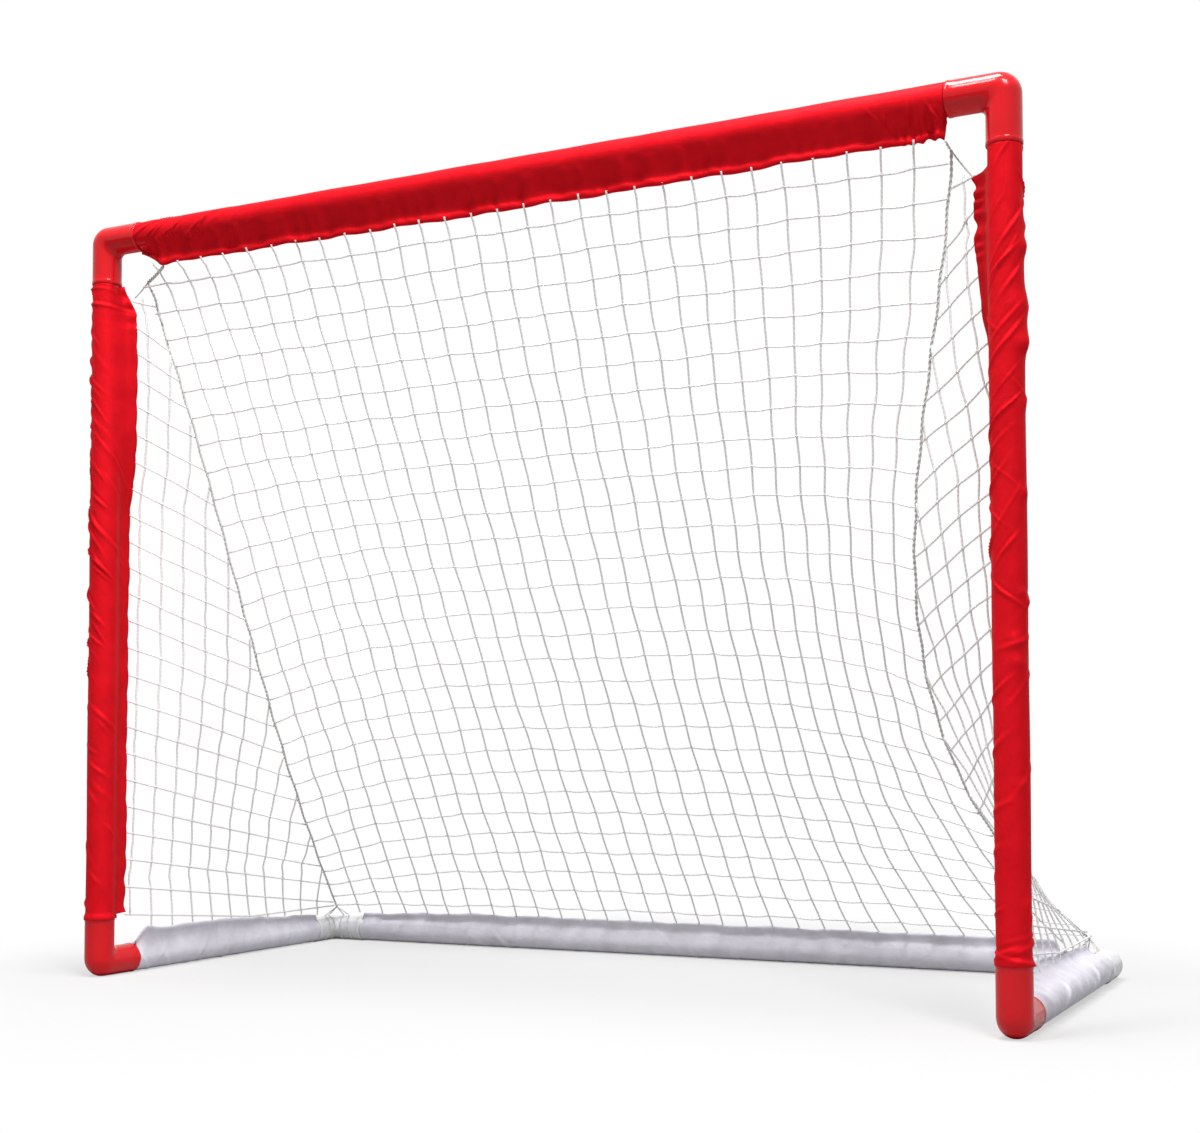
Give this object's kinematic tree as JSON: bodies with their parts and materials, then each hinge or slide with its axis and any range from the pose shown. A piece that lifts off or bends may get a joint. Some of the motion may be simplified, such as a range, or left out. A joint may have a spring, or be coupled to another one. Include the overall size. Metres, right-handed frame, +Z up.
{
  "type": "street hockey goal",
  "caption": "Knock-down street hockey goal: a tube frame in fabric sleeves with a slanting knotted net behind the mouth.",
  "frame": {"origin": "on the floor under the middle of the goal's box", "axes": "+X across the mouth to the right as seen by the shooter, +Y from the mouth to the back, +Z up"},
  "size_m": [1.372, 0.635, 1.103],
  "materials": {
    "red_tube": "gloss rigid PVC tube",
    "red_elbow": "gloss injection-moulded PVC",
    "white_tube": "gloss rigid PVC tube",
    "white_elbow": "gloss injection-moulded PVC",
    "coupler": "plain moulded plastic, unseen inside the bars",
    "red_cloth": "satin woven nylon",
    "white_cloth": "woven polyester, slightly translucent",
    "netting": "knotted polyester twine",
    "border_cord": "laid polyester cord"
  },
  "bodies": {
    "front_frame": {"crossbar_left_half": "red_tube", "crossbar_right_half": "red_tube", "crossbar_coupler": "coupler", "left_post": "red_tube", "right_post": "red_tube", "top_left_elbow": "red_elbow", "top_right_elbow": "red_elbow", "left_foot_elbow": "red_elbow", "right_foot_elbow": "red_elbow", "crossbar_sleeve": "red_cloth", "left_post_sleeve": "red_cloth", "right_post_sleeve": "red_cloth", "back_net": "netting", "left_side_net": "netting", "right_side_net": "netting", "left_net_seam_cord": "border_cord", "right_net_seam_cord": "border_cord", "left_corner_cord": "border_cord", "right_corner_cord": "border_cord"},
    "base_frame": {"left_side_rail": "white_tube", "right_side_rail": "white_tube", "rear_left_elbow": "white_elbow", "rear_right_elbow": "white_elbow", "rear_rail_left_half": "white_tube", "rear_rail_right_half": "white_tube", "rear_rail_coupler": "coupler", "left_base_sleeve": "white_cloth", "right_base_sleeve": "white_cloth", "rear_base_sleeve": "white_cloth"}
  },
  "joints": [
    {"name": "base_pull_out", "type": "slide", "parent": "front_frame", "child": "base_frame", "axis": [0, 1, 0], "range_m": [0, 0.04]}
  ]
}
